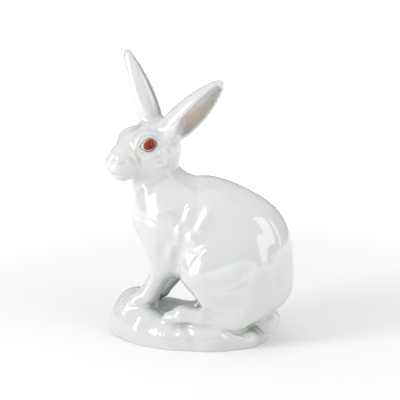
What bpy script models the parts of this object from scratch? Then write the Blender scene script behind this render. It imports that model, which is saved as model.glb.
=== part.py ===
# A hare sitting up on a mound of leaves, cast and fired in porcelain as one piece.
# The hare faces -X with its left side towards -Y, and the underside of the mound is at z = 0.
# The forms are placed from the middle of the mound; the row's origin is the middle of the whole.

import math

import bmesh
import bpy
import numpy as np
from mathutils import Matrix

# Driving sizes, in metres.
FIGURE_HEIGHT = 0.300
MOUND_LENGTH = 0.168
MOUND_WIDTH = 0.118
EAR_WALL = 0.0036
MOUND_AHEAD = 0.0123
FOOT_RING_WIDTH = 0.007
FOOT_RING_HEIGHT = 0.0022
FOOT_RING_BEVEL = 0.002
GRID_STEP = 0.0020
FACET_COUNT = 8900

# Above this height the facets are smaller: a lower share thins them out less.
HEAD_FLOOR = 0.175
HEAD_THINNING = 0.4

# The modeller's unit: the figure is 300 of these tall, so the numbers below read as
# millimetres on a figure of 300 mm.
UNIT = FIGURE_HEIGHT / 300

# The head turns to the hare's left and tips down a little.
HEAD_PLACE = (-48.5, -17.5, 206)
HEAD_TURN = math.radians(50)
HEAD_TIP = math.radians(18)


# A form's own centre has no nearest side; this share of its radius stands in for zero there.
CENTRE = 1e-6


def length(vectors):
    return np.sqrt((vectors * vectors).sum(axis=1))


def smooth_step(low, high, value):
    t = np.clip((value - low) / (high - low), 0, 1)
    return t * t * (3 - 2 * t)


def ball(points, centre, radii, axes=None):
    """Distance to an ellipsoid; axes are the rows of its own directions."""
    offset = points - np.array(centre, float)
    if axes is not None:
        offset = offset @ np.array(axes, float).T
    scaled = offset / np.array(radii, float)
    near = np.maximum(length(scaled), CENTRE)
    slope = np.maximum(length(scaled / np.array(radii, float)), CENTRE / max(radii))
    return near * (near - 1) / slope


def limb(points, *stations):
    """Distance to a tapering rod through stations (x, y, z, radius)."""
    nearest = None
    for start, end in zip(stations, stations[1:]):
        a, b = np.array(start[:3], float), np.array(end[:3], float)
        run = b - a
        t = np.clip((points - a) @ run / (run @ run), 0, 1)
        gap = length(points - a - t[:, None] * run) - (start[3] + (end[3] - start[3]) * t)
        nearest = gap if nearest is None else join(nearest, gap, 4)
    return nearest


def join(one, other, blend):
    """Union with a soft fillet of about the size blend."""
    near = np.maximum(blend - np.abs(one - other), 0)
    return np.minimum(one, other) - near * near / (4 * blend)


def carve(one, tool, blend):
    """Takes the tool out of one, with soft edges."""
    return -join(-one, tool, blend)


def within(points, places, margin):
    """Which points are inside the box around some places, grown by a margin."""
    places = np.array(places, float)
    low, high = places.min(axis=0) - margin, places.max(axis=0) + margin
    return ((points > low) & (points < high)).all(axis=1)


def crease(points, width, *stations):
    """Depth of a soft groove along stations (x, y, z, depth); a negative depth is a ridge."""
    depths = np.zeros(len(points))
    near = within(points, [station[:3] for station in stations], 3 * width)
    close = points[near]
    deepest = np.zeros(len(close))
    for start, end in zip(stations, stations[1:]):
        a, b = np.array(start[:3], float), np.array(end[:3], float)
        run = b - a
        t = np.clip((close - a) @ run / (run @ run), 0, 1)
        gap = length(close - a - t[:, None] * run) / width
        depth = (start[3] + (end[3] - start[3]) * t) * np.exp(-gap * gap)
        deepest = np.where(np.abs(depth) > np.abs(deepest), depth, deepest)
    depths[near] = deepest
    return depths


def press(points, centre, radii, depth):
    """Depth of a soft hollow; a negative depth is a swelling."""
    depths = np.zeros(len(points))
    near = within(points, [centre], 3 * max(radii))
    offset = length((points[near] - np.array(centre, float)) / np.array(radii, float))
    depths[near] = depth * np.exp(-offset * offset)
    return depths


def turned(yaw, pitch=0, roll=0):
    """Own axes of a form turned about Z by yaw, then tipped by pitch and rolled, in degrees."""
    spin = (
        Matrix.Rotation(math.radians(yaw), 3, "Z")
        @ Matrix.Rotation(math.radians(pitch), 3, "Y")
        @ Matrix.Rotation(math.radians(roll), 3, "X")
    )
    return np.array(spin).T


def head_axes():
    """Rows: the head's own forward, left and up directions."""
    turn, tip = HEAD_TURN, HEAD_TIP
    forward = np.array(
        (-math.cos(turn) * math.cos(tip), -math.sin(turn) * math.cos(tip), -math.sin(tip))
    )
    left = np.array((math.sin(turn), -math.cos(turn), 0.0))
    return np.array((forward, left, np.cross(forward, left)))


def head_place(points):
    """Points in the head's own directions: ahead, to its left and up."""
    return (points - np.array(HEAD_PLACE, float)) @ head_axes().T


def torso(points):
    """Rump, rib cage and chest, under one arched back."""
    rump = ball(points, (47.8, 0, 89.8), (60, 45, 66.8), turned(0, 24))
    seat = ball(points, (68, 0, 65), (41.5, 34, 34.5), turned(0, 20))
    ribs = ball(points, (12, 0, 120.6), (50, 36, 50.2), turned(0, 10))
    chest = ball(points, (-28, 0, 128), (30.5, 30, 38))
    return join(join(join(rump, seat, 16), ribs, 30), chest, 22)


def belly_gap(points):
    """Round bar that clears the gap under the belly from side to side."""
    return np.hypot(points[:, 0] + 14, points[:, 2] - 31) - 36


# Muscles that fan out over the near shoulder, as soft ridges.
SHOULDER_FAN = (
    ((12, -32, 151, -0.4), (10, -34, 143, -3.2), (6, -37, 129, -2.8), (2, -38, 118, -0.4)),
    ((33, -33, 150, -0.4), (28, -37, 138, -2.5), (22, -40, 126, -1.9), (19, -41, 117, -0.3)),
    ((1, -40, 131, -0.5), (0, -40, 120, -4.0), (-2, -39, 107, -1.2)),
    ((-9, -40, 106, -0.4), (-10, -39, 97, -1.3), (-14, -37, 86, -0.3)),
)


def body_carving(points):
    """Folds and muscles of the trunk; the near side carries more of them."""
    marks = sum(crease(points, 3.9, *ridge) for ridge in SHOULDER_FAN)
    marks += crease(points, 5, (-1, -38, 110, 0.5), (0, -41, 94, 1.4), (-4, -37, 74, 0.6))
    nape = ((1, -4, 172, 0.5), (8, -12, 168, 2.6), (14, -20, 162, 2.4), (19, -35, 146, 0.4))
    marks += crease(points, 6, *nape)
    marks += crease(points, 7, (6, 8, 170, 0.8), (13, 22, 158, 1.8), (16, 34, 142, 0.4))
    marks += crease(points, 3, (16, -47, 95, -0.3), (26, -48, 104, -1.6), (36, -46, 113, -0.4))
    far_rump = ((38, 54, 70, 0.6), (54, 52, 70, 1.2), (68, 47, 78, 1.6), (75, 46, 90, 0.8))
    marks += crease(points, 7, *far_rump)
    near_rump = ((38, -54, 70, 0.7), (54, -52, 70, 1.5), (66, -49, 76, 1.9), (75, -47, 90, 0.9))
    marks += crease(points, 7, *near_rump)
    marks += crease(points, 6, (43, -53, 60, -0.5), (56, -52, 63, -1.2), (70, -48, 68, -0.6))
    marks += crease(points, 6, (89, -40, 88, 0.3), (89, -40, 76, 1.4), (87, -39, 62, 0.5))
    marks += crease(points, 6, (99, -25, 84, 0.3), (98, -25, 72, 1.3), (94, -26, 58, 0.4))
    marks += crease(points, 7, (8, 37, 146, 0.6), (4, 40, 116, 2.4), (0, 38, 84, 1.5))
    marks += press(points, (-17, -40, 101), (5.5, 9, 8), 2.2)
    marks += press(points, (-13.5, -41, 140), (7, 8, 6), -1.2)
    marks += press(points, (-25, -35, 152), (7, 8, 12), -0.9)
    marks += crease(points, 3, (-42, -28, 153, 0.3), (-33, -35, 150, 1.0), (-24, -38, 146, 0.4))
    marks += crease(points, 3, (-40, -32, 133, 0.3), (-30, -38, 130, 1.0), (-20, -42, 126, 0.4))
    marks += press(points, (-22, -42, 133), (6, 8, 8), -1.0)
    marks += press(points, (15, -46, 95), (8, 8, 9), 1.6)
    marks += press(points, (12.5, -43, 115), (6, 6, 8), -1.4)
    marks += crease(
        points, 5, (-41, -25, 166, -0.4), (-38, -28, 156, -1.5), (-34, -31.5, 143, -1.5),
        (-31, -33, 130, -0.5)
    )
    marks += press(points, (70, -49, 84), (8, 8, 8), 1.4)
    marks += press(points, (60, -50, 49), (16, 10, 8), 1.6)
    marks += press(points, (58, -17, 155), (14, 10, 9), 1.2)
    marks += press(points, (58, 20, 153), (14, 10, 9), 1.0)
    return marks


def haunch(points, side):
    """One thigh, folded up beside the body."""
    thigh = ball(points, (50, side * 27, 80), (46, 25, 46), turned(0, -12))
    knee = ball(points, (25, side * 34, 74), (24, 17, 25), turned(0, -20))
    shank = limb(points, (34, side * 38, 52, 12), (62, side * 36, 34, 11))
    seat = ball(points, (62, side * 18, 50), (31, 24, 30))
    return join(join(join(thigh, knee, 16), shank, 12), seat, 16)


def hind_foot(points, side):
    """One long hind foot, flat on the mound."""
    if side > 0:
        return limb(points, (-13, 33, 13.5, 6), (3, 34, 19, 7), (26, 37, 27, 9), (56, 39, 28, 8.5))
    return limb(points, (-11, -42, 28.8, 6.5), (3, -42, 33, 9.2), (26, -41, 32.5, 9), (56, -39, 28, 8.5))


def forelegs(points):
    """Near (left) foreleg a little ahead of the far one, each down to a paw on the mound."""
    near_arm = join(
        ball(points, (-22, -25, 112), (17, 14, 30), turned(0, 8)),
        limb(points, (-18, -24, 96, 13), (-17, -22, 83, 12)),
        14,
    )
    near = join(near_arm, limb(points, (-19, -22, 82, 12.5), (-37.5, -22, 47, 10)), 8)
    near_paw = join(
        limb(points, (-38, -22, 45, 9.8), (-49, -24, 38, 8), (-58, -25, 34, 6.5)),
        ball(points, (-47, -24, 37), (13, 9.5, 8)),
        6,
    )
    near = join(near, near_paw, 6)
    near = join(near, ball(points, (-36.5, -31, 43), (3, 2.6, 3)), 2)
    far_arm = limb(points, (-18, 22, 108, 16), (-6, 20, 78, 11))
    far = join(far_arm, limb(points, (-4.5, 20, 78, 10), (-33.5, 19, 39, 6)), 10)
    far_paw = limb(points, (-35.5, 19, 37, 6.2), (-44, 19, 32, 7), (-53, 20, 30, 6.5))
    far = join(far, far_paw, 6)
    return join(near, far, 2)


def tail(points):
    """Short tail, turned up."""
    return limb(points, (74, -8, 27, 12), (87, -15, 24, 10.5), (93, -17, 29, 8))


def neck(points):
    return limb(points, (-24, 0, 135, 34.5), (-38, 1, 168, 24.5), (-34.5, 1.5, 192, 23))


def head(points):
    """Skull, cheeks, muzzle and brows in the head's own directions."""
    local = head_place(points)
    both = local * (1, 0, 1) + np.abs(local) * (0, 1, 0)
    skull = ball(local, (-17, 0, -7), (33, 22, 23))
    bridge = limb(local, (-4, 0, -1.5, 15), (20, 0, -4.5, 12.5), (28.5, 0, -8.5, 11.6))
    muzzle = ball(local, (27.3, 0, -12), (13, 12, 13.5))
    lips = ball(both, (28, 5.5, -14), (11, 7.5, 10))
    jaw = limb(local, (-6, 0, -25, 14), (12, 0, -23, 10), (28, 0, -22, 7))
    cheek = ball(both, (-8, 10, -18), (22, 13.5, 18), turned(0, 10))
    brow = ball(both, (1, 14, 6.2), (12, 8, 8.3))
    form = join(skull, bridge, 12)
    form = join(form, muzzle, 8)
    form = join(form, lips, 5)
    form = join(form, jaw, 10)
    form = join(form, cheek, 10)
    form = join(form, brow, 6)
    form = join(form, ball(local, (4, -7, 4.2), (15, 9, 8.2)), 7)
    socket = ball(both, (3, 21, 3.5), (10, 3.5, 8))
    form = carve(form, socket, 5)
    eyeball = ball(both, (2, 13, 3.5), (9, 9, 8.6))
    form = join(form, eyeball, 1)
    return form + face_carving(both) + press(local, (-4, -5, 16), (12, 9, 7), 2.8)


def face_carving(both):
    """Nostrils, mouth, whisker pads and the fold of the cheek, in the head's own directions."""
    marks = crease(both, 1.9, (40.5, 3.2, -5, 0.8), (37, 6.8, -1.8, 2.2), (34, 9.2, 2.6, 1.0))
    marks += crease(both, 1.8, (42.5, 0, -15.5, 1.5), (38, 8.5, -18, 1.5), (28, 13, -19.5, 0.4))
    marks += crease(both, 1.7, (42, 0, -3, 0.8), (42.5, 0, -14, 1.4))
    marks += crease(both, 2.0, (18.8, 13.4, 0.5, -0.9), (18, 14.2, -7, -2.1), (17.3, 14.6, -15.5, -0.6))
    marks += crease(both, 2.4, (10, 17.7, -6.5, -0.8), (11, 17.5, -13, -1.5), (13, 16.8, -21, -0.4))
    marks += crease(both, 3, (-10.5, 25, -3, -0.6), (-13, 25, -12, -2.2), (-8.5, 24.2, -22, -1.4))
    marks += press(both, (35, 10.6, -5), (4, 3.6, 5.5), -0.9)
    marks += press(both, (-3, 24, -14), (4.5, 5, 5), 0.9)
    return marks


# Each ear: its root and tip, the way it opens, how far its middle bows back, and its radii.
# The roll is half the turn that the wall makes around the hollow, in degrees: root, body and tip.
# The swell is how far up the swelling curve the root starts, and the hollow is where it deepens.
EAR_FORMS = {
    "far": {
        "root": (-38, 4, 215),
        "tip": (-69, 10, 295.4),
        "opens": (0.93, 0.17, 0.34),
        "bow": -1.5,
        "girth": 12.9,
        "blunt": 0.6,
        "swell": 0.2,
        "roll": (146, 136, 122),
        "hollow": (0.0, 0.3),
    },
    "near": {
        "root": (-23.5, -9, 213.5),
        "tip": (34, -3, 268.3),
        "opens": (0.65, -0.71, -0.47),
        "bow": -2.2,
        "girth": 15.2,
        "blunt": 2.2,
        "swell": 0.16,
        "roll": (178, 118, 95),
        "hollow": (0.08, 0.42),
    },
}


def ear_section(points, form):
    """Where points lie on an ear: share of its length, way past its ends, place in its section."""
    root, tip = np.array(form["root"], float), np.array(form["tip"], float)
    run = tip - root
    span = math.sqrt(run @ run)
    along = run / span
    opens = np.array(form["opens"], float)
    opens = opens - along * (opens @ along)
    opens /= math.sqrt(opens @ opens)
    reach = (points - root) @ along
    t = np.clip(reach / span, 0, 1)
    centre = root + t[:, None] * run - (4 * t * (1 - t))[:, None] * form["bow"] * opens
    offset = points - centre
    across, ahead = offset @ np.cross(along, opens), offset @ opens
    swell = form["swell"] + (1 - form["swell"]) * t
    full = np.maximum(np.sin(np.pi * swell), 0) ** 0.6 * (1 - 0.1 * t)
    radius = form["blunt"] + (form["girth"] - form["blunt"]) * full
    return t, reach - t * span, across, ahead, np.hypot(across, ahead), radius


def ear(points, form):
    """A rolled leaf of even wall around a hollow, which a sloping floor closes at root and tip."""
    t, beyond, across, ahead, distance, radius = ear_section(points, form)
    half_turn = np.radians(np.interp(t, (0, 0.35, 1), form["roll"]))
    angle = np.arctan2(np.abs(across), -ahead)
    rim = np.hypot(np.abs(across) - radius * np.sin(half_turn), ahead + radius * np.cos(half_turn))
    section = np.where(angle < half_turn, np.abs(distance - radius), rim)
    shell = np.hypot(section, beyond) - EAR_WALL / UNIT / 2
    opened = smooth_step(*form["hollow"], t) * (1 - smooth_step(0.88, 1, t))
    floor = radius * (1.15 - 2.5 * opened)
    core = np.maximum(np.hypot(distance, beyond) - radius, ahead - floor)
    return join(shell, core, 3)


def ears(points):
    return [ear(points, form) for form in EAR_FORMS.values()]


def ground_share():
    """How the mound is stretched along, across and upwards from the form worked out below."""
    return (MOUND_LENGTH / UNIT / 168, MOUND_WIDTH / UNIT / 118, 1)


def mound(points):
    """Low oval ground of rolled leaves under the hare."""
    across = np.maximum(np.hypot(points[:, 0] / 84, points[:, 1] / 59), CENTRE)
    reach = np.maximum(np.hypot(points[:, 0] / 84**2, points[:, 1] / 59**2), CENTRE / 84)
    side = across * (across - 1) / reach
    slab = np.hypot(np.maximum(side + 9, 0), np.maximum(points[:, 2] - 9, 0)) - 9
    slab = np.maximum(slab, side)
    front = ball(points, (-59, 0, 14), (25, 36, 30))
    near_roll = limb(points, (-62, -16, 18, 18), (-38, -32, 15, 19), (-10, -40, 12, 14))
    far_roll = limb(points, (-58, 18, 15, 18), (-30, 34, 6.3, 17), (6, 42, 8, 13))
    near_leaf = limb(points, (8, -43, 12, 13), (40, -40, 12, 13), (69, -23, 6, 11))
    far_leaf = limb(points, (10, 42, 8, 13), (42, 40, 7, 13), (68, 18, 5, 12))
    form = join(slab, front, 8)
    form = join(form, near_roll, 5)
    form = join(form, far_roll, 5)
    form = join(form, near_leaf, 4)
    form = join(form, far_leaf, 5)
    return form


def leaf_carving(points):
    """Folds that part the mound into leaves."""
    marks = crease(points, 5, (3, -45, 28, 0.4), (9.5, -49, 21, 2.0), (20, -56, 8, 2.6), (25, -58, 1, 2))
    marks += crease(points, 6, (0, -57, 12, 1.2), (9, -59, 6, 2.4), (16, -60, 1, 1.6))
    marks += crease(points, 2.6, (45, -48, 24, -0.3), (54.7, -45, 17.6, -1.0), (67, -37.5, 12.2, -1.0))
    marks += crease(points, 5, (67, -35, 17, 1.0), (73, -29, 11, 1.8), (80, -24, 3, 1.4))
    marks += crease(points, 5, (68, -38, 28, 1.2), (77, -30, 23.5, 2.6), (87, -23, 20, 3.4))
    marks += crease(points, 2.6, (-68, -12, 40, 1.2), (-62.7, -8, 43, 4.0), (-57.9, -3.2, 44, 3.0))
    marks += crease(points, 2.8, (-66, -32.5, 26.5, -0.5), (-51, -47, 17.2, -1.6), (-29, -54.6, 13.6, -0.4))
    marks += crease(points, 4.5, (-58.6, -36.6, 27, 0.5), (-44, -48, 22.4, 1.4), (-28, -53, 17, 0.4))
    marks += crease(points, 6, (-14, 44, 24, 1.5), (-8, 55, 12, 3.2), (-2, 60, 2, 2))
    marks += crease(points, 6, (36, 42, 22, 1.2), (46, 52, 10, 2.8), (52, 54, 2, 2))
    marks += crease(points, 5, (80, 8, 12, 1.6), (84, 10, 2, 2.2))
    marks += crease(points, 5, (-84, 4, 26, 1.2), (-86, 8, 8, 2.4))
    marks += crease(
        points, 2.6, (22, -50, 48, 0.6), (31, -50, 37, 1.8), (41, -50, 32, 1.4), (54, -49, 27, 0.4)
    )
    return marks


def hare(points):
    """Distance to the whole casting, in modeller's units."""
    form = torso(points)
    form = join(form, haunch(points, -1), 10)
    form = join(form, haunch(points, 1), 10)
    form = carve(form, belly_gap(points), 10)
    form = join(form, forelegs(points), 14)
    form = join(form, neck(points), 17) + body_carving(points)
    form = join(form, head(points), 11)
    far_ear, near_ear = ears(points)
    form = join(form, far_ear, 5)
    form = join(form, near_ear, 8)
    form = join(form, tail(points), 4)
    feet = join(hind_foot(points, -1), hind_foot(points, 1), 1)
    form = join(form, feet, 4)
    ground = points / ground_share()
    return join(form, mound(ground), 4) + leaf_carving(ground)


def face_corners(axis):
    """Slices that pick the four corners of every grid face across one axis, in order around it."""
    second, third = (axis + 1) % 3, (axis + 2) % 3
    corners = []
    for back, down in ((0, 0), (1, 0), (1, 1), (0, 1)):
        corner = [slice(None)] * 3
        corner[second] = slice(1, None) if back else slice(0, -1)
        corner[third] = slice(1, None) if down else slice(0, -1)
        corners.append(tuple(corner))
    return corners


def unpinched(value):
    """Fills each grid face whose corners alternate, so that no two sheets share an edge."""
    while True:
        inside = value < 0
        pinched = np.zeros(value.shape, bool)
        for axis in range(3):
            corners = face_corners(axis)
            one, two, three, four = [inside[corner] for corner in corners]
            crossed = (one == three) & (two == four) & (one != two)
            for corner in corners:
                pinched[corner] |= crossed
        if not pinched.any():
            return value
        value = np.where(pinched, np.minimum(value, -0.05), value)


def surface_of(field, low, high, step):
    """Vertices and quads of the closed surface where the field is zero.
    Each grid cell that the surface crosses gets one vertex, at the mean of its edge crossings."""
    axes = [np.arange(a, b + step, step) for a, b in zip(low, high)]
    shape = tuple(len(a) for a in axes)
    grid = np.stack(np.meshgrid(*axes, indexing="ij"), axis=-1).reshape(-1, 3)
    value = np.concatenate([field(part) for part in np.array_split(grid, 24)]).reshape(shape)
    value = unpinched(value)
    inside = value < 0
    cells = tuple(n - 1 for n in shape)
    total = np.zeros(cells + (3,))
    count = np.zeros(cells)
    for axis in range(3):
        others = [a for a in range(3) if a != axis]
        for first in (0, 1):
            for second in (0, 1):
                start, end = [None] * 3, [None] * 3
                start[axis], end[axis] = slice(0, -1), slice(1, None)
                for other, offset in zip(others, (first, second)):
                    start[other] = end[other] = slice(1, None) if offset else slice(0, -1)
                a, b = value[tuple(start)], value[tuple(end)]
                crossed = (a < 0) != (b < 0)
                share = np.where(crossed, a / np.where(crossed, a - b, 1), 0)
                point = np.zeros(cells + (3,))
                point[..., axis] = share
                point[..., others[0]] = first
                point[..., others[1]] = second
                total += point * crossed[..., None]
                count += crossed
    used = count > 0
    number = np.full(cells, -1)
    number[used] = np.arange(used.sum())
    corner = np.stack(np.nonzero(used), axis=-1)
    vertices = (corner + total[used] / count[used][:, None]) * step + np.array(low)
    quads = []
    for axis in range(3):
        second, third = (axis + 1) % 3, (axis + 2) % 3
        start, end = [slice(1, -1)] * 3, [slice(1, -1)] * 3
        start[axis], end[axis] = slice(0, -1), slice(1, None)
        a, b = inside[tuple(start)], inside[tuple(end)]
        place = np.stack(np.nonzero(a != b), axis=-1) + 1
        place[:, axis] -= 1
        ring = []
        for back, down in ((0, 0), (1, 0), (1, 1), (0, 1)):
            cell = place.copy()
            cell[:, second] -= back
            cell[:, third] -= down
            ring.append(number[tuple(cell.T)])
        ring = np.stack(ring, axis=-1)
        leaving = a[a != b]
        quads.append(np.where(leaving[:, None], ring, ring[:, ::-1]))
    return vertices, np.concatenate(quads)


def relax(vertices, faces, rounds=2):
    """Evens out the spacing of the vertices."""
    edges = np.concatenate([faces[:, (k, (k + 1) % 4)] for k in range(4)])
    count = np.bincount(edges[:, 0], minlength=len(vertices))
    for _ in range(rounds):
        total = np.stack(
            [
                np.bincount(edges[:, 0], weights=vertices[edges[:, 1], k], minlength=len(vertices))
                for k in range(3)
            ],
            axis=-1,
        )
        vertices = total / count[:, None]
    return vertices


def settle(field, vertices, rounds=3):
    """Moves each vertex along the field's slope onto the surface."""
    nudge = 0.05
    for _ in range(rounds):
        here = field(vertices)
        slope = np.stack(
            [field(vertices + nudge * unit) - here for unit in np.eye(3)], axis=-1
        ) / nudge
        vertices = vertices - (here / np.maximum((slope**2).sum(axis=1), 0.2))[:, None] * slope
    return vertices


def cast_mesh():
    """The casting as a mesh cut off flat at the table, with its bare foot ring."""
    long, wide = ground_share()[:2]
    low = (-84 * long - 8, -59 * wide - 7, -4)
    high = (max(118, 84 * long + 8), 59 * wide + 7, 302)
    points, faces = surface_of(hare, low, high, GRID_STEP / UNIT)
    points = settle(hare, relax(points, faces)) * UNIT
    mesh = bpy.data.meshes.new("porcelain_hare")
    mesh.from_pydata(points.tolist(), [], faces.tolist())
    return mesh


def thin_out(item):
    """Fewer, larger facets on the same form."""
    item.data.calc_loop_triangles()
    modifier = item.modifiers.new("facets", "DECIMATE")
    modifier.ratio = FACET_COUNT / len(item.data.loop_triangles)
    modifier.use_collapse_triangulate = True
    weights = item.vertex_groups.new(name="thinning")
    for vertex in item.data.vertices:
        share = HEAD_THINNING if vertex.co.z > HEAD_FLOOR else 1 - HEAD_THINNING
        weights.add([vertex.index], share, "REPLACE")
    modifier.vertex_group = weights.name
    modifier.vertex_group_factor = 1
    bpy.context.view_layer.update()
    thinned = bpy.data.meshes.new_from_object(
        item.evaluated_get(bpy.context.evaluated_depsgraph_get())
    )
    item.modifiers.clear()
    item.data = thinned


def close_underside(item):
    """Cuts the mound off at z = 0, closes it and sinks the middle inside a foot ring."""
    work = bmesh.new()
    work.from_mesh(item.data)
    everything = work.verts[:] + work.edges[:] + work.faces[:]
    cut = bmesh.ops.bisect_plane(
        work, geom=everything, plane_co=(0, 0, 0), plane_no=(0, 0, -1), clear_outer=True
    )
    rim = [part for part in cut["geom_cut"] if isinstance(part, bmesh.types.BMEdge)]
    for width, height in ((FOOT_RING_WIDTH, 0), (FOOT_RING_BEVEL, FOOT_RING_HEIGHT)):
        made = bmesh.ops.extrude_edge_only(work, edges=rim)["geom"]
        corners = {part for part in made if isinstance(part, bmesh.types.BMVert)}
        rim = [
            part
            for part in made
            if isinstance(part, bmesh.types.BMEdge) and corners.issuperset(part.verts)
        ]
        for corner in corners:
            corner.co *= 1 - width / math.hypot(corner.co.x, corner.co.y)
            corner.co.z = height
    bmesh.ops.contextual_create(work, geom=rim)
    bmesh.ops.triangulate(work, faces=work.faces[:])
    bmesh.ops.recalc_face_normals(work, faces=work.faces[:])
    work.to_mesh(item.data)
    work.free()


def porcelain():
    """White glazed porcelain, faintly cool."""
    material = bpy.data.materials.new("white_porcelain_glaze")
    material.use_nodes = True
    shader = material.node_tree.nodes["Principled BSDF"]
    shader.inputs["Base Color"].default_value = (0.69, 0.70, 0.70, 1)
    shader.inputs["Roughness"].default_value = 0.12
    shader.inputs["Coat Weight"].default_value = 0.6
    return material


def build():
    for old in list(bpy.data.objects):
        bpy.data.objects.remove(old, do_unlink=True)
    item = bpy.data.objects.new("porcelain_hare", cast_mesh())
    bpy.context.scene.collection.objects.link(item)
    thin_out(item)
    close_underside(item)
    item.data.transform(Matrix.Translation((-MOUND_AHEAD, 0, 0)))
    item.data.materials.clear()
    item.data.materials.append(porcelain())
    item.data.shade_smooth()


if __name__ == "__main__":
    build()
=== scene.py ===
import math

import bmesh
import bpy
import numpy as np
from mathutils import Matrix, Vector


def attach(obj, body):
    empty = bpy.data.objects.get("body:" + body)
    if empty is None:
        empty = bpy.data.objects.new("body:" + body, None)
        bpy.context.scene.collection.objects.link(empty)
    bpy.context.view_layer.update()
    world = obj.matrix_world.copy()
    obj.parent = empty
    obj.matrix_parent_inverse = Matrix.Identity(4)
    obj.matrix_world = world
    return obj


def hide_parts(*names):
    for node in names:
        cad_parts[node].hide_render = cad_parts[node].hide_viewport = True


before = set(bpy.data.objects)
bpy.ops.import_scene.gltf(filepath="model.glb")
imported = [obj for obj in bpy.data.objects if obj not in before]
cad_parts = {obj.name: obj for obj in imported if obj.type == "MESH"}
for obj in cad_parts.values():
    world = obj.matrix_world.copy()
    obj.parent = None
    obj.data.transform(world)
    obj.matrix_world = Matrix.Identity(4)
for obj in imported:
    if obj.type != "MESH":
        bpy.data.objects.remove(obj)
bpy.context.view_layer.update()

# The hare, in the modeller's unit: the figure stands 300 of these tall.
hare = {
    "unit": 0.001,  # metres in one unit
    "moundAhead": 12.3,  # how far the mound's middle is ahead of the row's origin
    "headPlace": (-48.5, -17.5, 206),
    "headTurn": 50,  # degrees to its left
    "headTip": 18,  # degrees down
    "step": 1.54,
    "quickStep": 2.2,
    "low": (-92, -66, -4),  # corners of the space that the grid fills
    "high": (118, 66, 302),
}
tiny = 1e-6  # keeps divisions away from nought

# The eye opening, from the head's own place: ahead of it, above it, and tipped up in front.
eye = {
    "place": (1.0, 1.7),
    "slant": 12,
    "halfLength": 8.7,
    "halfHeight": 6.9,
    "pinch": 0.24,  # how much the opening narrows towards its corners
    "leastPinch": 0.3,
    "lidRise": 0.5,
    "rimDepth": 0.5,
    "foldDepth": 0.4,
}

footRing = {"steps": ((0.007, 0), (0.002, 0.0022))}  # how far in, and how high, in metres


def length(vectors):
    return np.sqrt((vectors * vectors).sum(axis=1))


def smoothStep(low, high, value):
    t = np.clip((value - low) / (high - low), 0, 1)
    return t * t * (3 - 2 * t)


# Distance to an ellipsoid; axes are the rows of its own directions.
def ball(points, centre, radii, axes=None):
    offset = points - np.array(centre, float)
    if axes is not None:
        offset = offset @ np.array(axes, float).T
    scaled = offset / np.array(radii, float)
    near = np.maximum(length(scaled), tiny)
    slope = np.maximum(length(scaled / np.array(radii, float)), tiny / max(radii))
    return near * (near - 1) / slope


# Distance to a tapering rod through stations (x, y, z, radius).
def limb(points, *stations):
    nearest = None
    for start, end in zip(stations, stations[1:]):
        a, b = np.array(start[:3], float), np.array(end[:3], float)
        run = b - a
        t = np.clip((points - a) @ run / (run @ run), 0, 1)
        gap = length(points - a - t[:, None] * run) - (start[3] + (end[3] - start[3]) * t)
        nearest = gap if nearest is None else join(nearest, gap, 4)
    return nearest


# Union with a soft fillet of about the size blend.
def join(one, other, blend):
    near = np.maximum(blend - np.abs(one - other), 0)
    return np.minimum(one, other) - near * near / (4 * blend)


# Takes the tool out of one, with soft edges.
def carve(one, tool, blend):
    return -join(-one, tool, blend)


# Which points are inside the box around some places, grown by a margin.
def within(points, places, margin):
    places = np.array(places, float)
    low, high = places.min(axis=0) - margin, places.max(axis=0) + margin
    return ((points > low) & (points < high)).all(axis=1)


# Depth of a soft groove along stations (x, y, z, depth); a negative depth is a ridge.
def crease(points, width, *stations):
    depths = np.zeros(len(points))
    near = within(points, [station[:3] for station in stations], 3 * width)
    close = points[near]
    deepest = np.zeros(len(close))
    for start, end in zip(stations, stations[1:]):
        a, b = np.array(start[:3], float), np.array(end[:3], float)
        run = b - a
        t = np.clip((close - a) @ run / (run @ run), 0, 1)
        gap = length(close - a - t[:, None] * run) / width
        depth = (start[3] + (end[3] - start[3]) * t) * np.exp(-gap * gap)
        deepest = np.where(np.abs(depth) > np.abs(deepest), depth, deepest)
    depths[near] = deepest
    return depths


# Depth of a soft hollow; a negative depth is a swelling.
def press(points, centre, radii, depth):
    depths = np.zeros(len(points))
    near = within(points, [centre], 3 * max(radii))
    offset = length((points[near] - np.array(centre, float)) / np.array(radii, float))
    depths[near] = depth * np.exp(-offset * offset)
    return depths


# Own axes of a form turned about Z by yaw and then tipped by pitch, in degrees.
def turned(yaw, pitch):
    spin = Matrix.Rotation(math.radians(yaw), 3, "Z") @ Matrix.Rotation(math.radians(pitch), 3, "Y")
    return np.array(spin).T


# Rows: the head's own forward, left and up directions.
def headAxes():
    turn, tip = math.radians(hare["headTurn"]), math.radians(hare["headTip"])
    forward = np.array(
        (-math.cos(turn) * math.cos(tip), -math.sin(turn) * math.cos(tip), -math.sin(tip))
    )
    left = np.array((math.sin(turn), -math.cos(turn), 0.0))
    return np.array((forward, left, np.cross(forward, left)))


# Points in the head's own directions: ahead, to its left and up.
def headPlace(points):
    return (points - np.array(hare["headPlace"], float)) @ headAxes().T


# Rump, rib cage and chest, under one arched back.
def torso(points):
    rump = ball(points, (47.8, 0, 89.8), (60, 45, 66.8), turned(0, 24))
    seat = ball(points, (68, 0, 65), (41.5, 34, 34.5), turned(0, 20))
    ribs = ball(points, (12, 0, 120.6), (50, 36, 50.2), turned(0, 10))
    chest = ball(points, (-28, 0, 128), (30.5, 30, 38))
    return join(join(join(rump, seat, 16), ribs, 30), chest, 22)


# Round bar that clears the gap under the belly from side to side.
def bellyGap(points):
    return np.hypot(points[:, 0] + 14, points[:, 2] - 31) - 36


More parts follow.
